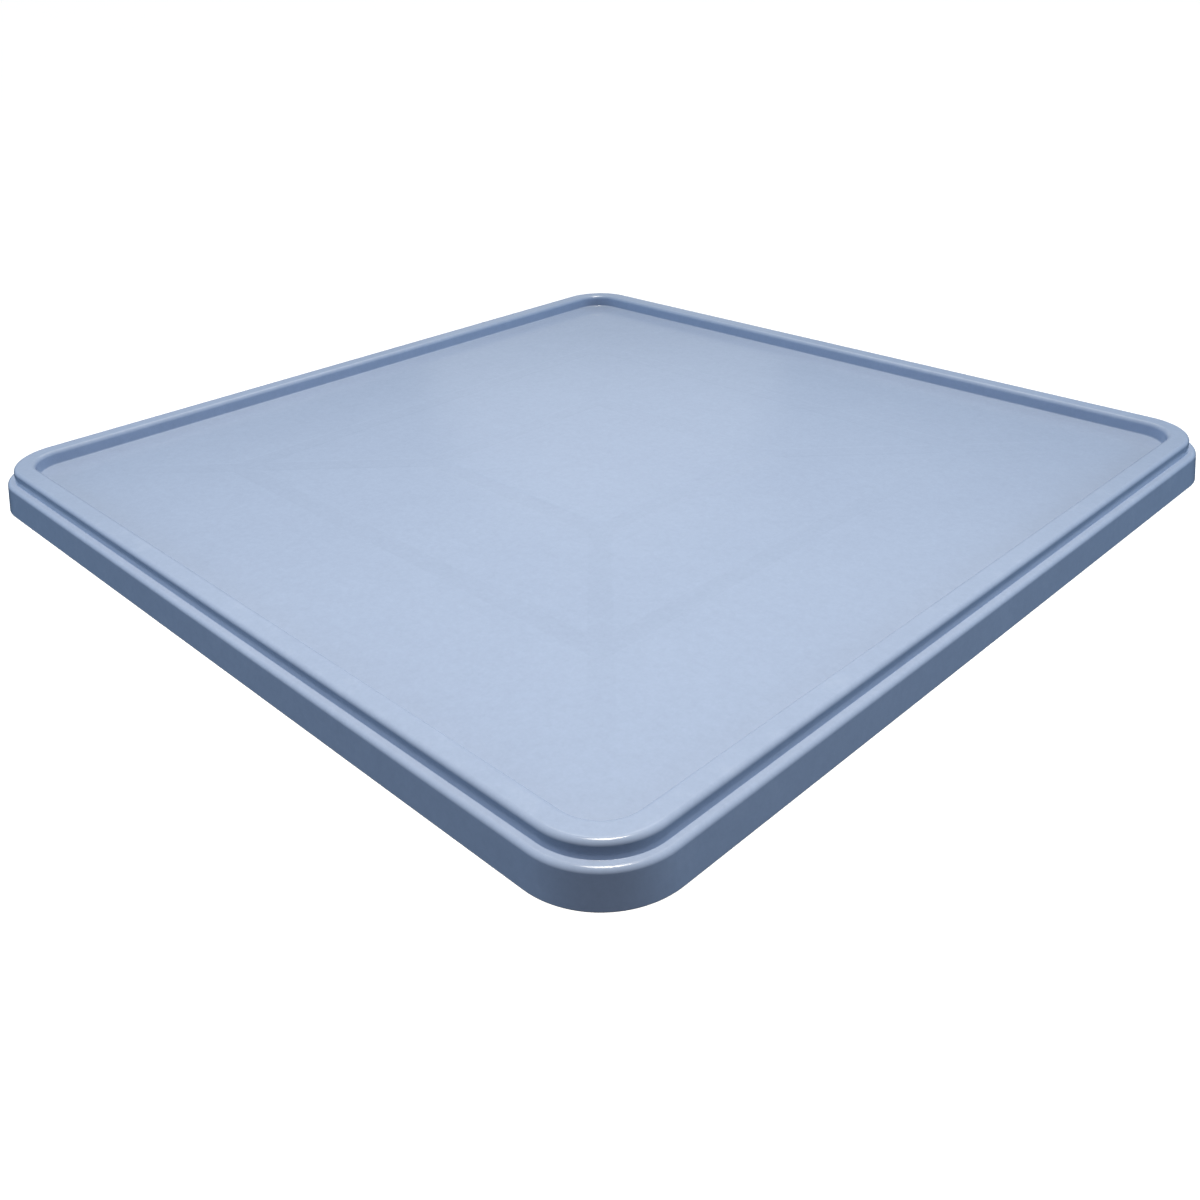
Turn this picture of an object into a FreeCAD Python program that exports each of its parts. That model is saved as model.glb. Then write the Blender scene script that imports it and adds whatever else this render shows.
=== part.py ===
import FreeCAD, Part
import math
import os

# Low solid-deck plastic pallet. Millimetres, +Z up.
# Origin: centre of the square footprint, on the floor. Front is -Y, right is +X.

# Moulded shell, outside
PALLET_SIDE = 1100.0          # skirt to skirt at the floor
PALLET_HEIGHT = 51.0          # floor to rim top
CORNER_RADIUS = 82.0          # plan corner of the skirt at the floor
LEDGE_HEIGHT = 35.0
DECK_HEIGHT = 34.0            # top of the recessed deck panel
SKIRT_DRAFT = 6.2             # how far the skirt leans in over its height
LEDGE_INNER_INSET = 15.0      # foot of the step wall, from the skirt's edge
RIM_OUTER_INSET = 16.6
RIM_INNER_INSET = 41.2
RECESS_FOOT_INSET = 42.4      # foot of the recess wall, at deck level
SHELL_WALL = 4.0

# Edge rounding, outside
LEDGE_EDGE_RADIUS = 5.5
LEDGE_INNER_RADIUS = 0.4
RIM_EDGE_RADIUS = 5.5
RECESS_FOOT_RADIUS = 2.0

# Stiffening channels bonded under the deck, open side down
CHANNEL_WIDTH = 25.0
CHANNEL_WALL = 3.0
INNER_RING_HALF = 146.0       # centreline, from the pallet's centre
OUTER_RING_HALF = 320.0
STRUT_END = 645.0             # outer end of a corner strut, along the diagonal

DECK_UNDERSIDE = DECK_HEIGHT - SHELL_WALL
HALF = PALLET_SIDE / 2
CORNER_AXIS = HALF - CORNER_RADIUS


def unit(start, end):
    """Unit direction from start to end, both (inset, height)."""
    dx, dz = end[0] - start[0], end[1] - start[1]
    size = math.hypot(dx, dz)
    return dx / size, dz / size


def inside_path(points, wall):
    """The same open path, moved by the wall thickness to its right-hand side."""
    lines = []
    for start, end in zip(points, points[1:]):
        dx, dz = unit(start, end)
        lines.append(((start[0] + dz * wall, start[1] - dx * wall), (dx, dz)))
    moved = [lines[0][0]]
    for (first, along), (second, across) in zip(lines, lines[1:]):
        turn = along[0] * across[1] - along[1] * across[0]
        gap = second[0] - first[0], second[1] - first[1]
        step = (gap[0] * across[1] - gap[1] * across[0]) / turn
        moved.append((first[0] + along[0] * step, first[1] + along[1] * step))
    last, along = lines[-1]
    length = points[-1][0] - points[-2][0]
    moved.append((last[0] + along[0] * length, last[1] + along[1] * length))
    return moved


def rounded_edges(points, radii, place):
    """Straight edges and tangent arcs along an open path; radii belong to its inner corners."""
    edges = []
    here = points[0]
    for before, corner, after, radius in zip(points, points[1:], points[2:], radii):
        back, ahead = unit(corner, before), unit(corner, after)
        opening = math.acos(back[0] * ahead[0] + back[1] * ahead[1])
        trim = radius / math.tan(opening / 2)
        start = corner[0] + back[0] * trim, corner[1] + back[1] * trim
        end = corner[0] + ahead[0] * trim, corner[1] + ahead[1] * trim
        half = unit((0, 0), (back[0] + ahead[0], back[1] + ahead[1]))
        reach = radius / math.sin(opening / 2) - radius
        middle = corner[0] + half[0] * reach, corner[1] + half[1] * reach
        edges.append(Part.makeLine(place(here), place(start)))
        edges.append(Part.Arc(place(start), place(middle), place(end)).toShape())
        here = end
    edges.append(Part.makeLine(place(here), place(points[-1])))
    return edges


def shell_section():
    """Wall section of the front side, from the skirt's foot in to the corner axis."""
    outside = [
        (0.0, 0.0),
        (SKIRT_DRAFT, LEDGE_HEIGHT),
        (LEDGE_INNER_INSET, LEDGE_HEIGHT),
        (RIM_OUTER_INSET, PALLET_HEIGHT),
        (RIM_INNER_INSET, PALLET_HEIGHT),
        (RECESS_FOOT_INSET, DECK_HEIGHT),
        (CORNER_RADIUS, DECK_HEIGHT),
    ]
    outside_radii = [LEDGE_EDGE_RADIUS, LEDGE_INNER_RADIUS, RIM_EDGE_RADIUS, RIM_EDGE_RADIUS,
                     RECESS_FOOT_RADIUS]
    inside = inside_path(outside, SHELL_WALL)
    skirt_lean = SKIRT_DRAFT / LEDGE_HEIGHT
    inside[0] = (inside[1][0] - inside[1][1] * skirt_lean, 0.0)
    inside[-1] = (CORNER_RADIUS, DECK_UNDERSIDE)
    inside_radii = [LEDGE_EDGE_RADIUS - SHELL_WALL, LEDGE_INNER_RADIUS + SHELL_WALL,
                    RIM_EDGE_RADIUS - SHELL_WALL, RIM_EDGE_RADIUS - SHELL_WALL,
                    RECESS_FOOT_RADIUS + SHELL_WALL]

    def place(point):
        return FreeCAD.Vector(-CORNER_AXIS, point[0] - HALF, point[1])

    edges = rounded_edges(outside, outside_radii, place)
    edges.append(Part.makeLine(place(outside[-1]), place(inside[-1])))
    edges += rounded_edges(inside[::-1], inside_radii[::-1], place)
    edges.append(Part.makeLine(place(inside[0]), place(outside[0])))
    return Part.Face(Part.Wire(edges))


def make_deck_shell():
    """The moulding: four straight sides, four turned corners and the middle of the deck."""
    section = shell_section()
    up = FreeCAD.Vector(0, 0, 1)
    side = section.extrude(FreeCAD.Vector(2 * CORNER_AXIS, 0, 0))
    corner = section.revolve(FreeCAD.Vector(-CORNER_AXIS, -CORNER_AXIS, 0), up, -90)
    pieces = []
    for quarter in range(4):
        for piece in (side, corner):
            turned = piece.copy()
            turned.rotate(FreeCAD.Vector(0, 0, 0), up, 90 * quarter)
            pieces.append(turned)
    middle = Part.makeBox(2 * CORNER_AXIS, 2 * CORNER_AXIS, SHELL_WALL,
                          FreeCAD.Vector(-CORNER_AXIS, -CORNER_AXIS, DECK_UNDERSIDE))
    return middle.multiFuse(pieces).removeSplitter()


def channel(start, end):
    """A straight inverted channel along X, from start to end, under the deck."""
    length = end - start
    outer = Part.makeBox(length, CHANNEL_WIDTH, DECK_UNDERSIDE,
                         FreeCAD.Vector(start, -CHANNEL_WIDTH / 2, 0))
    hollow = Part.makeBox(length, CHANNEL_WIDTH - 2 * CHANNEL_WALL, DECK_UNDERSIDE - CHANNEL_WALL,
                          FreeCAD.Vector(start, CHANNEL_WALL - CHANNEL_WIDTH / 2, 0))
    return outer.cut(hollow)


def square_block(half_side):
    """A square block around the origin, as tall as the space under the deck."""
    return Part.makeBox(2 * half_side, 2 * half_side, DECK_UNDERSIDE,
                        FreeCAD.Vector(-half_side, -half_side, 0))


def make_ring_beam(ring_half):
    """The front beam of a square ring, mitred at both ends."""
    tip = ring_half + CHANNEL_WIDTH / 2
    beam = channel(-tip, tip)
    beam.translate(FreeCAD.Vector(0, -ring_half, 0))
    mitre = Part.makePolygon([FreeCAD.Vector(0, 0, 0), FreeCAD.Vector(-tip, -tip, 0),
                              FreeCAD.Vector(tip, -tip, 0), FreeCAD.Vector(0, 0, 0)])
    return beam.common(Part.Face(mitre).extrude(FreeCAD.Vector(0, 0, DECK_UNDERSIDE)))


def make_tie():
    """Diagonal between the rings, fitted to the corner of each; front right quarter."""
    inner_square = square_block(INNER_RING_HALF + CHANNEL_WIDTH / 2)
    outer_square = square_block(OUTER_RING_HALF - CHANNEL_WIDTH / 2)
    tie = channel(INNER_RING_HALF, OUTER_RING_HALF * math.sqrt(2))
    tie.rotate(FreeCAD.Vector(0, 0, 0), FreeCAD.Vector(0, 0, 1), -45)
    return tie.common(outer_square).cut(inner_square)


def make_strut():
    """Diagonal from the outer ring's corner towards the shell's corner; front right quarter."""
    strut = channel(OUTER_RING_HALF, STRUT_END)
    strut.rotate(FreeCAD.Vector(0, 0, 0), FreeCAD.Vector(0, 0, 1), -45)
    return strut.cut(square_block(OUTER_RING_HALF + CHANNEL_WIDTH / 2))


def save(shape, node):
    shape.exportStep("parts/" + node + ".step")


def save_quarters(shape, stem, places):
    """Save one copy per quarter turn, counter-clockwise seen from above."""
    for quarter, place in enumerate(places):
        turned = shape.copy()
        turned.rotate(FreeCAD.Vector(0, 0, 0), FreeCAD.Vector(0, 0, 1), 90 * quarter)
        save(turned, stem + "_" + place)


SIDES = ("front", "right", "back", "left")
CORNERS = ("front_right", "back_right", "back_left", "front_left")

os.makedirs("parts", exist_ok=True)
save(make_deck_shell(), "deck_shell")
save_quarters(make_ring_beam(OUTER_RING_HALF), "outer_beam", SIDES)
save_quarters(make_ring_beam(INNER_RING_HALF), "inner_beam", SIDES)
save_quarters(make_tie(), "tie", CORNERS)
save_quarters(make_strut(), "strut", CORNERS)
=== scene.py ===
import math
import bmesh
import bpy
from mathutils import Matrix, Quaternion, Vector


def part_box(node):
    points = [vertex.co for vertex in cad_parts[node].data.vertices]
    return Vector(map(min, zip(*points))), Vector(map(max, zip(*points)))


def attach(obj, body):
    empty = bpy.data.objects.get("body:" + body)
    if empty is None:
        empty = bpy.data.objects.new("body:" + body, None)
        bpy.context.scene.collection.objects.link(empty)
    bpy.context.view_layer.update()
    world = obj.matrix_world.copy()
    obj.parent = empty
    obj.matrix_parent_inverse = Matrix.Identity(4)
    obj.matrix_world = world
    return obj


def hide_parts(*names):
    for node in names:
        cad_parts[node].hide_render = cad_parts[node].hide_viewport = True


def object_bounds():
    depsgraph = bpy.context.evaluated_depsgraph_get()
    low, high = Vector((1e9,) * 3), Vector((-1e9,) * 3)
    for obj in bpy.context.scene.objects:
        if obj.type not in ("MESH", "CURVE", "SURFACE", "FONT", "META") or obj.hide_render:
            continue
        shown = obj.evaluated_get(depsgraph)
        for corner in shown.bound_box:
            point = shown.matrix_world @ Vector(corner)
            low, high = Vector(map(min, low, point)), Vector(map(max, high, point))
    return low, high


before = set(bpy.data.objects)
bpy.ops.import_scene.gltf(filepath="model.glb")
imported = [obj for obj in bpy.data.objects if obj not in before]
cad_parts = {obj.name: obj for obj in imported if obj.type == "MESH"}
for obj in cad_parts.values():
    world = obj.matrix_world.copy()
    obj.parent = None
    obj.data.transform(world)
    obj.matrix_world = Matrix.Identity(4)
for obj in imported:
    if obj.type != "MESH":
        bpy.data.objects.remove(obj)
cad_low, cad_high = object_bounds()

# ---------------------------------------------------------------- sizes, in metres
MM = 0.001
HALF = cad_high.x                       # half the square footprint
CORNER_RADIUS = 82 * MM                 # plan corner of the skirt at the floor
CORNER_AXIS = HALF - CORNER_RADIUS
DECK_HEIGHT = 34 * MM
SHELL_WALL = 4 * MM
DECK_UNDERSIDE = DECK_HEIGHT - SHELL_WALL
CORNER_STEPS = 40                       # segments round each plan corner
SINK_DEPTH = 0.10 * MM                  # sink of the deck over each channel
SINK_EDGE = 1.6 * MM                    # half the width of the sink's soft edge
END_BEVEL = 0.4 * MM                    # softening of a channel's cut ends
FLOOR_HALF = 30.0
FLOOR_DROP = 0.1 * MM                   # keeps the floor clear of the pallet's lower edges

outer_low, outer_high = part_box("outer_beam_front")
inner_low, inner_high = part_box("inner_beam_front")
strut_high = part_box("strut_front_right")[1]
CHANNEL_WIDTH = outer_high.y - outer_low.y
HALF_CHANNEL = CHANNEL_WIDTH / 2
CHANNEL_WALL = 3 * MM
OUTER_RING = -(outer_low.y + outer_high.y) / 2
INNER_RING = -(inner_low.y + inner_high.y) / 2
STRUT_END = strut_high.x * math.sqrt(2) - HALF_CHANNEL

# the shell's outside, from the skirt's foot to the deck: inset from the skirt, height, rounding (mm)
OUTSIDE = [(0, 0, 0.6), (6.2, 35, 5.5), (15, 35, 0.4), (16.6, 51, 5.5), (41.2, 51, 5.5),
           (42.4, 34, 2.0), (82, 34, 0)]
# the rounding of each of those corners on the inside: one wall less where it bulges out,
# one wall more where it is hollow (mm)
INSIDE_ROUNDINGS = [0.6, 1.5, 4.4, 1.5, 1.5, 6, 0]
# roundings of a channel's section (mm)
CHANNEL_FOOT, CHANNEL_TOP, CHANNEL_HOLLOW = 0.6, 0.8, 2.5

# ---------------------------------------------------------------- mesh detail
ROUNDING_STEPS = 8                      # segments in a rounding of the shell's section
CHANNEL_ROUNDING_STEPS = 5
DECK_COLUMNS = 24                       # columns between the diagonal channels along one side
RING_GAPS = (2, 12, 2, 12)              # rows that follow each edge of the two rings of channels
EDGE_ROWS = (-1, -0.6, -0.25, 0, 0.25, 0.6, 1)      # rows across a sink's soft edge
SLOPE_STEP = 0.2 * MM                   # distance over which the sink's slope is taken
WELD_STEPS = 1e5                        # per metre: points 0.01 mm apart become one
STRAIGHT = 1e-6                         # a turn below this, in radians, is no corner
TINY = 1e-9
CREASE = math.radians(30)               # a sharper edge of a channel isn't shaded smooth
BEVEL_FROM = math.radians(40)           # a channel's edges sharper than this are bevelled

# ---------------------------------------------------------------- looks
READ_THROUGH_MIDDLE = 0.52              # strength of the channels' marks at the deck's middle line
PAINTED_SHADE_FALL = 0.46                # painted shade: less of the mark at the outer ring's back, more at its front, as the light falls
READ_THROUGH_AND_SHADE_DARKENING = (0.012, 0.030) # least and most that a full-strength mark darkens, its painted shade included
CLOUD_SCALE = 3.4                       # clouds in the pigment, between its pale and deep shade
PALE_SHADE, DEEP_SHADE = 1.010, (0.988, 0.988, 0.992)
MOTTLE = ((34, 0.012), (120, 0.022), (330, 0.020))  # noise scale, swing of the colour
SPECK_CELLS = 16
SPECK_RARITY = 0.74                     # nearer 1 leaves fewer specks
SPECK_EDGE = (0.006, 0.012)             # distances in a cell where a speck is full and gone
SPECK_SHADE, SPECK_STRENGTH = 0.45, 0.35
EDGE_WEAR = 0.06                        # most that an edge is paled by wear
WORN_COLOUR = (0.78, 0.83, 0.90, 1)
SCUFF_STRETCH, SCUFF_TURN = (3, 170, 60), 0.5
SCUFF_DULLING = 0.05
PEEL_SCALE, GRAIN_SCALE = 95, 900       # slow waviness and fine grain of the moulded skin


# ---------------------------------------------------------------- sections
def heading(start, end):
    return math.atan2(end[1] - start[1], end[0] - start[0])


def left_of(angle):
    return -math.sin(angle), math.cos(angle)


def inner_side(path, wall):
    """The path moved by the wall thickness to its right-hand side."""
    angles = [heading(a, b) for a, b in zip(path, path[1:])]
    moved = []
    for index, point in enumerate(path):
        before = angles[max(index - 1, 0)]
        after = angles[min(index, len(angles) - 1)]
        middle, reach = (before + after) / 2, wall / math.cos((after - before) / 2)
        normal = left_of(middle)
        moved.append((point[0] - normal[0] * reach, point[1] - normal[1] * reach))
    return moved


def rounded(corners, closed=False, steps=ROUNDING_STEPS):
    """Points along a path with rounded corners. Each is (across, height), its normal, and
    whether it lies on a rounding that bulges outwards."""
    count = len(corners)
    points = []
    for index, (across, height, radius) in enumerate(corners):
        if not closed and index in (0, count - 1):
            other = 1 if index == 0 else count - 2
            angle = heading(corners[min(index, other)], corners[max(index, other)])
            points.append(((across, height), left_of(angle), False))
            continue
        before = heading(corners[index - 1], (across, height))
        after = heading((across, height), corners[(index + 1) % count])
        turn = (after - before + math.pi) % (2 * math.pi) - math.pi
        if radius == 0 or abs(turn) < STRAIGHT:
            points.append(((across, height), left_of(before + turn / 2), False))
            continue
        side = math.copysign(radius, turn)
        trim = radius * math.tan(abs(turn) / 2)
        normal = left_of(before)
        centre = (across - math.cos(before) * trim + normal[0] * side,
                  height - math.sin(before) * trim + normal[1] * side)
        for k in range(steps + 1):
            normal = left_of(before + turn * k / steps)
            spot = centre[0] - normal[0] * side, centre[1] - normal[1] * side
            points.append((spot, normal, turn < 0))
    return points


# ---------------------------------------------------------------- mesh building
class Skin:
    """Vertices that weld where they meet, with their own normals and named values."""

    def __init__(self):
        self.index, self.places, self.normals, self.faces = {}, [], [], []
        self.values = {}

    def vertex(self, place, normal, **values):
        key = tuple(round(c * WELD_STEPS) for c in place)
        if key not in self.index:
            self.index[key] = len(self.places)
            self.places.append(tuple(place))
            self.normals.append(tuple(normal))
            for name, value in values.items():
                self.values.setdefault(name, {})[self.index[key]] = value
        return self.index[key]

    def face(self, *corners):
        distinct = [c for n, c in enumerate(corners) if c != corners[n - 1]]
        if len(distinct) > 2:
            self.faces.append(distinct)

    def build(self, name):
        mesh = bpy.data.meshes.new(name)
        mesh.from_pydata(self.places, [], self.faces)
        for value_name, values in self.values.items():
            layer = mesh.attributes.new(value_name, "FLOAT", "POINT")
            for index, value in values.items():
                layer.data[index].value = value
        mesh.polygons.foreach_set("use_smooth", [True] * len(mesh.polygons))
        mesh.normals_split_custom_set_from_vertices([Vector(n).normalized() for n in self.normals])
        piece = bpy.data.objects.new(name, mesh)
        bpy.context.scene.collection.objects.link(piece)
        return piece


def smooth(value):
    value = min(max(value, 0.0), 1.0)
    return value * value * (3 - 2 * value)


def over_channel(x, y):
    """1 where the deck lies over a channel, 0 elsewhere, with a soft edge."""
    x, y = abs(x), abs(y)
    square, along, beside = max(x, y), (x + y) / math.sqrt(2), abs(x - y) / math.sqrt(2)
    from_rings = min(abs(square - OUTER_RING), abs(square - INNER_RING)) - HALF_CHANNEL
    from_diagonal = max(beside - HALF_CHANNEL, INNER_RING * math.sqrt(2) - along)
    strut_start = OUTER_RING * math.sqrt(2)
    fading = 1 - smooth((along - strut_start) / (STRUT_END - strut_start))
    soft = [smooth((SINK_EDGE - gap) / (2 * SINK_EDGE)) for gap in (from_rings, from_diagonal)]
    return max(soft[0], soft[1] * fading)


def deck_point(x, y):
    """Place, normal and read-through strength of the deck's top face, with its sink marks; the strength
    holds painted shade, weaker at the back and stronger at the front.
    """
    step = SLOPE_STEP
    slope_x = (over_channel(x + step, y) - over_channel(x - step, y)) / (2 * step)
    slope_y = (over_channel(x, y + step) - over_channel(x, y - step)) / (2 * step)
    mark = over_channel(x, y)
    place = x, y, DECK_HEIGHT - SINK_DEPTH * mark
    normal = SINK_DEPTH * slope_x, SINK_DEPTH * slope_y, 1
    # the mark's strength falls from the front to the back of the deck: painted shade
    return place, normal, mark * (READ_THROUGH_MIDDLE - PAINTED_SHADE_FALL * y / OUTER_RING)


def spread(start, end, count):
    return [start + (end - start) * k / count for k in range(count + 1)]


def edge_steps(middle, half):
    return [middle + half * row for row in EDGE_ROWS]


def ring_distances():
    """Half sides of the deck's nested squares, closer together at the channels' edges."""
    marks = [ring + side for ring in (INNER_RING, OUTER_RING) for side in (-HALF_CHANNEL, HALF_CHANNEL)]
    distances = []
    for index, mark in enumerate(marks):
        distances += edge_steps(mark, SINK_EDGE)
        following = marks[index + 1] - SINK_EDGE if index + 1 < len(marks) else CORNER_AXIS
        distances += spread(distances[-1], following, RING_GAPS[index])[1:-1]
    return distances + [CORNER_AXIS]


def side_columns(half_side):
    """Positions along one side of a nested square, closer at the diagonal channels' edges."""
    offset, soft = CHANNEL_WIDTH / math.sqrt(2), SINK_EDGE * math.sqrt(2)
    near = [0] + edge_steps(offset, soft)
    left = [-half_side + d for d in near]
    middle = spread(left[-1], -left[-1], DECK_COLUMNS)[1:-1]
    return left + middle + [-p for p in reversed(left)]


def turned(x, y, quarter):
    """The point turned about the origin by so many quarters, counter-clockwise."""
    for _ in range(quarter):
        x, y = -y, x
    return x, y


def add_deck_grid(skin, distances, point, upward):
    """The deck's nested squares and the grid in their middle."""
    def put(x, y):
        place, normal, tone = point(x, y)
        return skin.vertex(place, normal, read_through=tone)

    def quad(a, b, c, d):
        skin.face(*((a, b, c, d) if upward else (d, c, b, a)))

    for near, far in zip(distances, distances[1:]):
        inside, outside = side_columns(near), side_columns(far)
        for quarter in range(4):
            low = [put(*turned(x, -near, quarter)) for x in inside]
            high = [put(*turned(x, -far, quarter)) for x in outside]
            for k in range(len(low) - 1):
                quad(high[k], high[k + 1], low[k + 1], low[k])
    grid = side_columns(distances[0])
    rows = [[put(x, y) for x in grid] for y in grid]
    for low, high in zip(rows, rows[1:]):
        for k in range(len(low) - 1):
            quad(low[k], low[k + 1], high[k + 1], high[k])


def around_the_edge():
    """Stations round the shell: a point on the corner-axis square and the outward direction."""
    stations = []
    for quarter in range(4):
        columns = side_columns(CORNER_AXIS)
        for x in columns[1:]:
            stations.append((turned(x, -CORNER_AXIS, quarter), turned(0, -1, quarter)))
        for k in range(1, CORNER_STEPS + 1):
            angle = -math.pi / 2 + math.pi / 2 * k / CORNER_STEPS
            outward = turned(math.cos(angle), math.sin(angle), quarter)
            stations.append((turned(CORNER_AXIS, -CORNER_AXIS, quarter), outward))
    return stations


def make_deck():
    """The moulded shell: swept wall, deck with sink marks, and the deck's underside."""
    outside = [(s * MM, z * MM, r * MM) for s, z, r in OUTSIDE]
    inside = inner_side([(s, z) for s, z, r in outside], SHELL_WALL)
    lean = math.tan(math.pi / 2 - heading(outside[0], outside[1]))
    inside[0] = (inside[1][0] - inside[1][1] * lean, 0)
    section = [(s, z, r * MM) for (s, z), r in zip(inside, INSIDE_ROUNDINGS)][::-1] + outside
    points = rounded(section)
    skin = Skin()
    loops = []
    for (x, y), (out_x, out_y) in around_the_edge():
        loop = []
        for (inset, height), (across, up), edge in points:
            reach = CORNER_RADIUS - inset
            place = x + out_x * reach, y + out_y * reach, height
            normal = -across * out_x, -across * out_y, up
            loop.append(skin.vertex(place, normal, read_through=0.0, edge=float(edge)))
        loops.append(loop)
    for here, there in zip(loops, loops[1:] + loops[:1]):
        for k in range(len(here) - 1):
            skin.face(here[k], there[k], there[k + 1], here[k + 1])
    add_deck_grid(skin, ring_distances(), deck_point, True)
    underside = [INNER_RING, OUTER_RING, CORNER_AXIS]
    add_deck_grid(skin, underside, lambda x, y: ((x, y, DECK_UNDERSIDE), (0, 0, -1), 0.0), False)
    return skin.build("moulded_deck")


def channel_section():
    """Closed section of an inverted channel, clockwise: (sideways, height, rounding)."""
    side, top = HALF_CHANNEL, DECK_UNDERSIDE
    in_side, in_top = side - CHANNEL_WALL, top - CHANNEL_WALL
    corners = [(-side, 0, CHANNEL_FOOT), (-side, top, CHANNEL_TOP), (0, top, 0),
               (side, top, CHANNEL_TOP), (side, 0, CHANNEL_FOOT), (in_side, 0, CHANNEL_FOOT),
               (in_side, in_top, CHANNEL_HOLLOW), (0, in_top, 0),
               (-in_side, in_top, CHANNEL_HOLLOW), (-in_side, 0, CHANNEL_FOOT)]
    return [spot for spot, normal, edge in
            rounded([(a, z, r * MM) for a, z, r in corners], closed=True, steps=CHANNEL_ROUNDING_STEPS)]


def make_channel(name, start, end, place, angle):
    """A channel along its own X axis; start and end give X for a sideways offset."""
    section = channel_section()
    shape = bmesh.new()
    cos, sin = math.cos(angle), math.sin(angle)
    ends = []
    for limit in (start, end):
        ring = []
        for side, height in section:
            along, across = limit(side), side + place
            x, y = along * cos - across * sin, along * sin + across * cos
            ring.append(shape.verts.new((x, y, height)))
        ends.append(ring)
    first, last = ends
    count = len(section)
    for k in range(count):
        following = (k + 1) % count
        shape.faces.new((first[k], last[k], last[following], first[following])[::-1])
    # each end is two faces that meet at the channel's middle; the section's list starts and
    # ends inside the left one, so that one is put together from its two parts
    for ring, flip in ((first, False), (last, True)):
        for sign in (-1, 1):
            half = [v for v, (side, height) in zip(ring, section) if side * sign >= -TINY]
            if sign < 0:
                turn = next(k for k, (side, height) in enumerate(section)
                            if abs(side) < TINY and height < DECK_UNDERSIDE - TINY)
                kept = [k for k, (side, height) in enumerate(section) if side <= TINY]
                half = [ring[k] for k in kept if k >= turn] + [ring[k] for k in kept if k < turn]
            shape.faces.new(half if flip else half[::-1])
    bmesh.ops.recalc_face_normals(shape, faces=shape.faces)
    for edge in shape.edges:
        edge.smooth = edge.calc_face_angle(0) < CREASE
    mesh = bpy.data.meshes.new(name)
    shape.to_mesh(mesh)
    shape.free()
    mesh.polygons.foreach_set("use_smooth", [True] * len(mesh.polygons))
    piece = bpy.data.objects.new(name, mesh)
    bpy.context.scene.collection.objects.link(piece)
    bevel = piece.modifiers.new("soft ends", "BEVEL")
    bevel.width, bevel.segments, bevel.limit_method = END_BEVEL, 2, "ANGLE"
    bevel.angle_limit = BEVEL_FROM
    weighted = piece.modifiers.new("even shading", "WEIGHTED_NORMAL")
    weighted.keep_sharp = True
    return piece


# ---------------------------------------------------------------- materials
class Nodes:
    """A material, and short ways to add nodes to it."""

    def __init__(self, name):
        self.material = bpy.data.materials.new(name)
        self.material.use_nodes = True
        self.tree = self.material.node_tree
        self.shader = self.tree.nodes["Principled BSDF"]
        self.place = self.add("ShaderNodeTexCoord").outputs["Object"]

    def add(self, kind, **settings):
        node = self.tree.nodes.new(kind)
        for name, value in settings.items():
            setattr(node, name, value)
        return node

    def link(self, source, target):
        self.tree.links.new(source, target)

    def noise(self, scale, detail=2.0, roughness=0.5):
        node = self.add("ShaderNodeTexNoise")
        node.inputs["Scale"].default_value = scale
        node.inputs["Detail"].default_value = detail
        node.inputs["Roughness"].default_value = roughness
        self.link(self.place, node.inputs["Vector"])
        return node.outputs["Fac"]

    def math(self, operation, first, second):
        node = self.add("ShaderNodeMath", operation=operation)
        for socket, value in zip(node.inputs, (first, second)):
            if isinstance(value, (int, float)):
                socket.default_value = value
            else:
                self.link(value, socket)
        return node.outputs[0]

    def span(self, value, low, high, to_low, to_high):
        """The value carried from one range to another, and held at its ends."""
        node = self.add("ShaderNodeMapRange")
        for name, number in (("From Min", low), ("From Max", high),
                             ("To Min", to_low), ("To Max", to_high)):
            node.inputs[name].default_value = number
        self.link(value, node.inputs["Value"])
        return node.outputs["Result"]

    def mix(self, amount, first, second, blend="MIX"):
        node = self.add("ShaderNodeMix", data_type="RGBA", blend_type=blend)
        colour_inputs = node.inputs[0], node.inputs[6], node.inputs[7]
        for socket, value in zip(colour_inputs, (amount, first, second)):
            if isinstance(value, (int, float, tuple)):
                socket.default_value = value
            else:
                self.link(value, socket)
        return node.outputs[2]

    def value_of(self, name):
        return self.add("ShaderNodeAttribute", attribute_name=name).outputs["Fac"]

    def bump(self, height, strength, distance, normal=None):
        node = self.add("ShaderNodeBump")
        node.inputs["Strength"].default_value = strength
        node.inputs["Distance"].default_value = distance
        self.link(height, node.inputs["Height"])
        if normal:
            self.link(normal, node.inputs["Normal"])
        return node.outputs["Normal"]


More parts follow.
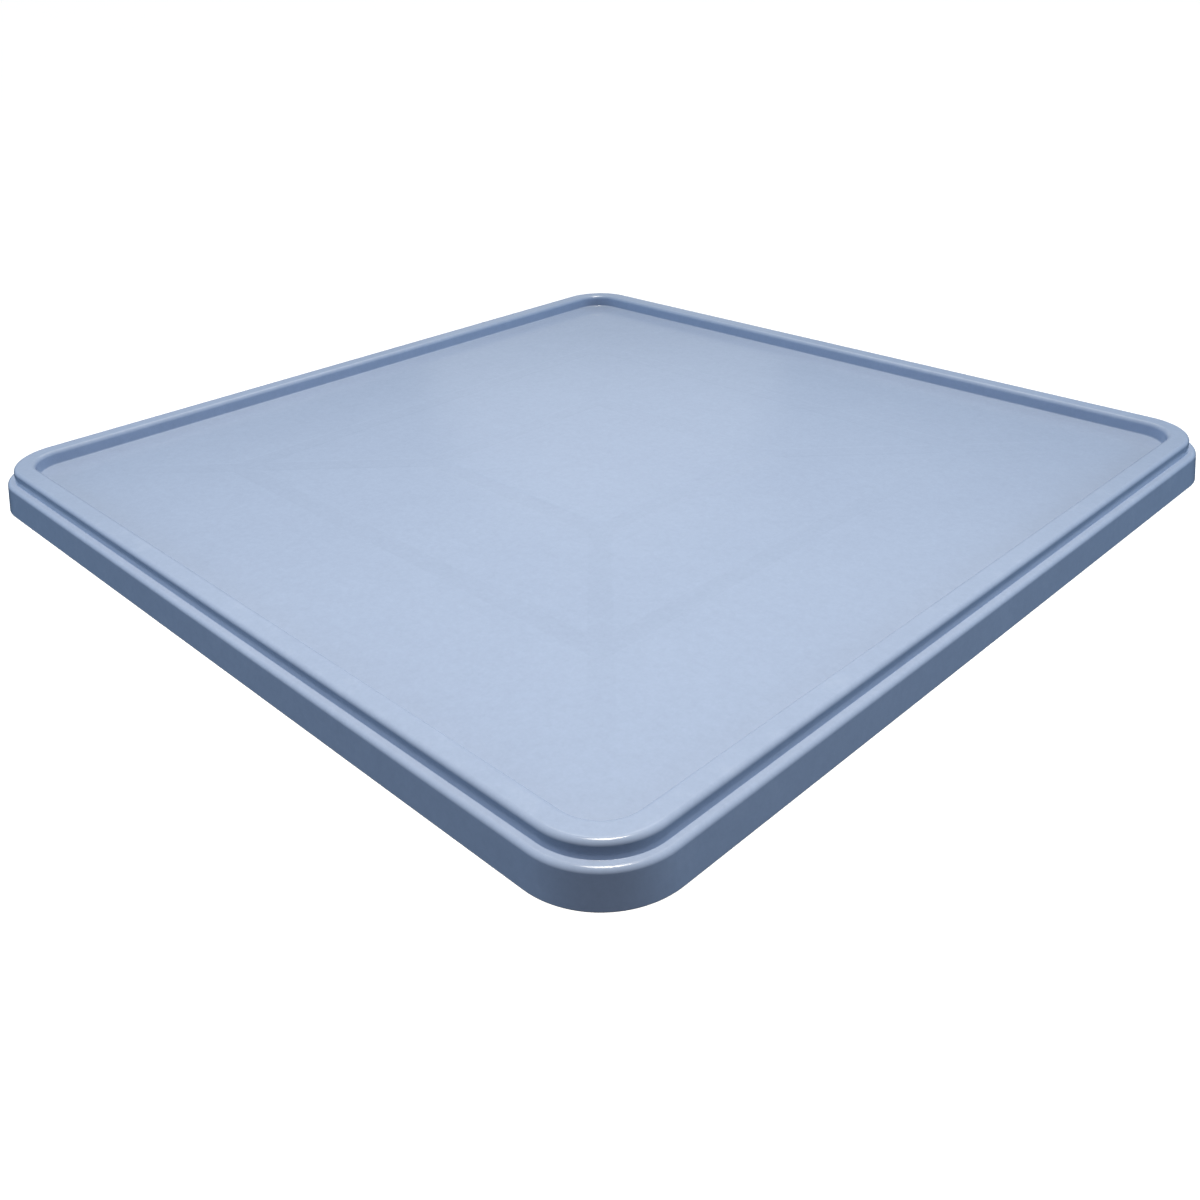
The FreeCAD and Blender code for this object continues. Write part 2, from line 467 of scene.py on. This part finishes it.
def moulded_plastic(name, colour, low_rough, high_rough, with_marks_and_painted_shade):
    """Pigmented moulded plastic: cloudy pigment, fine mottling, rare specks, faint scuffs, and
    optionally the channels' print-through marks, partly painted shade, and worn edges.
    """
    nodes = Nodes(name)
    pale = tuple(min(1, c * PALE_SHADE) for c in colour) + (1,)
    deep = tuple(c * shade for c, shade in zip(colour, DEEP_SHADE)) + (1,)
    cloud = nodes.span(nodes.noise(CLOUD_SCALE, 3, 0.55), 0.35, 0.65, 0, 1)
    body = nodes.mix(cloud, deep, pale)
    for scale, swing in MOTTLE:
        mottle = nodes.span(nodes.noise(scale, 3, 0.6), 0.3, 0.7, 1 - swing, 1 + swing)
        body = nodes.mix(1.0, body, mottle, "MULTIPLY")
    # rare dark specks of unmixed pigment
    cells = nodes.add("ShaderNodeTexVoronoi")
    cells.inputs["Scale"].default_value = SPECK_CELLS
    nodes.link(nodes.place, cells.inputs["Vector"])
    speck = nodes.span(cells.outputs["Distance"], *SPECK_EDGE, 1, 0)
    rare = nodes.math("GREATER_THAN", nodes.noise(41, 0), SPECK_RARITY)
    body = nodes.mix(nodes.math("MULTIPLY", nodes.math("MULTIPLY", speck, rare), SPECK_STRENGTH),
                     body, tuple(c * SPECK_SHADE for c in colour) + (1,))
    if with_marks_and_painted_shade:
        # the channels' print-through darkens the deck; how much more it darkens at the front than at
        # the back is painted shade
        print_through_and_shade_darkening = nodes.math("MULTIPLY", nodes.value_of("read_through"),
                           nodes.span(nodes.noise(4.5, 2), 0.3, 0.7, *READ_THROUGH_AND_SHADE_DARKENING))
        body = nodes.mix(1.0, body, nodes.math("SUBTRACT", 1.0, print_through_and_shade_darkening), "MULTIPLY")
        worn = nodes.math("MULTIPLY", nodes.value_of("edge"),
                          nodes.span(nodes.noise(34, 4, 0.7), 0.55, 0.8, 0, EDGE_WEAR))
        body = nodes.mix(worn, body, WORN_COLOUR)
    nodes.link(body, nodes.shader.inputs["Base Color"])
    # fine straight scuffs: noise drawn out along X
    stretch = nodes.add("ShaderNodeMapping")
    stretch.inputs["Scale"].default_value = SCUFF_STRETCH
    stretch.inputs["Rotation"].default_value = (0, 0, SCUFF_TURN)
    nodes.link(nodes.place, stretch.inputs["Vector"])
    scuff = nodes.add("ShaderNodeTexNoise")
    scuff.inputs["Scale"].default_value = 3
    nodes.link(stretch.outputs["Vector"], scuff.inputs["Vector"])
    dull = nodes.span(nodes.noise(7, 4, 0.6), 0.3, 0.7, low_rough, high_rough)
    dull = nodes.math("ADD", dull, nodes.span(scuff.outputs["Fac"], 0.62, 0.75, 0, SCUFF_DULLING))
    nodes.link(dull, nodes.shader.inputs["Roughness"])
    peel = nodes.bump(nodes.noise(PEEL_SCALE, 2, 0.5), 0.10, 0.4 * MM)
    grain = nodes.bump(nodes.noise(GRAIN_SCALE, 2, 0.6), 0.08, 0.1 * MM, peel)
    nodes.link(grain, nodes.shader.inputs["Normal"])
    nodes.shader.inputs["IOR"].default_value = 1.5
    nodes.shader.inputs["Coat Weight"].default_value = 0.25
    nodes.shader.inputs["Coat Roughness"].default_value = 0.13
    nodes.shader.inputs["Coat IOR"].default_value = 1.45
    return nodes.material


# ---------------------------------------------------------------- the pallet
deck_plastic = moulded_plastic("moulded_blue_grey", (0.345, 0.415, 0.560), 0.15, 0.20, True)
channel_plastic = moulded_plastic("satin_blue_grey", (0.300, 0.362, 0.490), 0.42, 0.55, False)

deck = make_deck()
deck.data.materials.append(deck_plastic)
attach(deck, "root")
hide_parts("deck_shell")


def add_channel(node, start, end, place, angle):
    """The visible piece for one channel node; it takes the node's place."""
    piece = make_channel(node + "_channel", start, end, place, angle)
    piece.data.materials.append(channel_plastic)
    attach(piece, "root")
    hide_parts(node)


for quarter, (side, corner) in enumerate((("front", "front_right"), ("right", "back_right"),
                                          ("back", "back_left"), ("left", "front_left"))):
    quarter_turn = quarter * math.pi / 2
    for ring_name, ring in (("outer", OUTER_RING), ("inner", INNER_RING)):
        add_channel(ring_name + "_beam_" + side,
                    lambda v: v - ring, lambda v: ring - v, -ring, quarter_turn)
    diagonal = quarter_turn - math.pi / 4
    inner_tip = (INNER_RING + HALF_CHANNEL) * math.sqrt(2)
    outer_tip = (OUTER_RING - HALF_CHANNEL) * math.sqrt(2)
    strut_tip = (OUTER_RING + HALF_CHANNEL) * math.sqrt(2)
    add_channel("tie_" + corner,
                lambda v: inner_tip - abs(v), lambda v: outer_tip - abs(v), 0, diagonal)
    add_channel("strut_" + corner,
                lambda v: strut_tip - abs(v), lambda v: STRUT_END, 0, diagonal)

# ---------------------------------------------------------------- floor, world, lights, camera
floor_mesh = bpy.data.meshes.new("floor")
floor_mesh.from_pydata([(-FLOOR_HALF, -FLOOR_HALF, 0), (FLOOR_HALF, -FLOOR_HALF, 0),
                        (FLOOR_HALF, FLOOR_HALF, 0), (-FLOOR_HALF, FLOOR_HALF, 0)],
                       [], [(0, 1, 2, 3)])
floor = bpy.data.objects.new("floor", floor_mesh)
bpy.context.scene.collection.objects.link(floor)
floor.location.z = -FLOOR_DROP
floor_paint = Nodes("pale_floor")
floor_colour = floor_paint.mix(floor_paint.noise(0.8), (0.96, 0.965, 0.98, 1), (0.98, 0.98, 0.99, 1))
floor_paint.link(floor_colour, floor_paint.shader.inputs["Base Color"])
floor_paint.shader.inputs["Roughness"].default_value = 0.9
floor_paint.shader.inputs["Emission Color"].default_value = (1, 1, 1, 1)
floor_paint.shader.inputs["Emission Strength"].default_value = 0.16
floor_paint.shader.inputs["Specular IOR Level"].default_value = 0.1
floor_mesh.materials.append(floor_paint.material)
# the floor and the world are seen, but light nothing and aren't mirrored in the plastic
floor.visible_diffuse = False
floor.visible_glossy = False

world = bpy.data.worlds.new("studio")
bpy.context.scene.world = world
world.use_nodes = True
backdrop = world.node_tree.nodes["Background"]
backdrop.inputs["Color"].default_value = (0.965, 0.97, 0.975, 1)
backdrop.inputs["Strength"].default_value = 1.0
world.cycles_visibility.diffuse = False
world.cycles_visibility.glossy = False


def add_lamp(name, place, width, power, colour):
    """A round soft lamp that faces the pallet's middle and leaves no highlight."""
    data = bpy.data.lights.new(name, "AREA")
    data.shape = "DISK"
    data.size = width
    data.energy = power
    data.color = colour
    light = bpy.data.objects.new(name, data)
    light.visible_glossy = False
    light.location = place
    light.rotation_euler = (-Vector(place)).to_track_quat("-Z", "Y").to_euler()
    bpy.context.scene.collection.objects.link(light)


def add_spot(name, place, reach, power, colour):
    """A lamp straight above that fades out at this reach on the floor and leaves no highlight."""
    data = bpy.data.lights.new(name, "SPOT")
    data.spot_size = 2 * math.atan(reach / place[2])
    data.spot_blend = 1.0
    data.shadow_soft_size = 0.3
    data.energy = power
    data.color = colour
    light = bpy.data.objects.new(name, data)
    light.location = place
    light.visible_glossy = False
    bpy.context.scene.collection.objects.link(light)


def add_sky(name, direction, strength, degrees, colour):
    """A far light from a round part of the sky that is so many degrees wide."""
    data = bpy.data.lights.new(name, "SUN")
    data.color = colour
    data.energy = strength
    data.angle = math.radians(degrees)
    light = bpy.data.objects.new(name, data)
    light.rotation_euler = Vector(direction).to_track_quat("-Z", "Y").to_euler()
    bpy.context.scene.collection.objects.link(light)


add_sky("low_behind", direction=(0.68, -0.68, -0.29), strength=0.018, degrees=18, colour=(1, 1, 1))
add_sky("overhead", direction=(-0.03, -0.02, -1), strength=2.30, degrees=22,
        colour=(1, 0.924, 0.760))
add_sky("behind", direction=(0.40, -0.40, -0.82), strength=0.25, degrees=24,
        colour=(1, 0.95, 0.85))
add_sky("dome", direction=(0, 0, -1), strength=0.84, degrees=178, colour=(0.357, 0.605, 1))
add_spot("over_deck", place=(0.15, -0.21, 6), reach=1.08, power=765, colour=(1, 0.91, 0.80))
add_lamp("left", place=(-2.08, -2.08, 0.58), width=1.2, power=26, colour=(0.55, 0.77, 0.97))
add_lamp("right", place=(2.08, 2.08, 0.58), width=1.2, power=29, colour=(0.56, 0.78, 0.98))

CAMERA_PLACE = Vector((0.9474, -0.9330, 0.5868))
CAMERA_TARGET = Vector((0.2121, -0.2133, 0.0))
CAMERA_ROLL = math.radians(-1.744)
SENSOR_WIDTH, FOCAL_LENGTH = 36, 34.192             # mm
camera_data = bpy.data.cameras.new("camera")
camera_data.sensor_width = SENSOR_WIDTH
camera_data.lens = FOCAL_LENGTH
camera = bpy.data.objects.new("camera", camera_data)
bpy.context.scene.collection.objects.link(camera)
camera.location = CAMERA_PLACE
camera.rotation_mode = "QUATERNION"
camera.rotation_quaternion = ((CAMERA_TARGET - CAMERA_PLACE).to_track_quat("-Z", "Y")
                              @ Quaternion((0, 0, 1), CAMERA_ROLL))
bpy.context.scene.camera = camera
bpy.context.scene.view_settings.view_transform = "Standard"
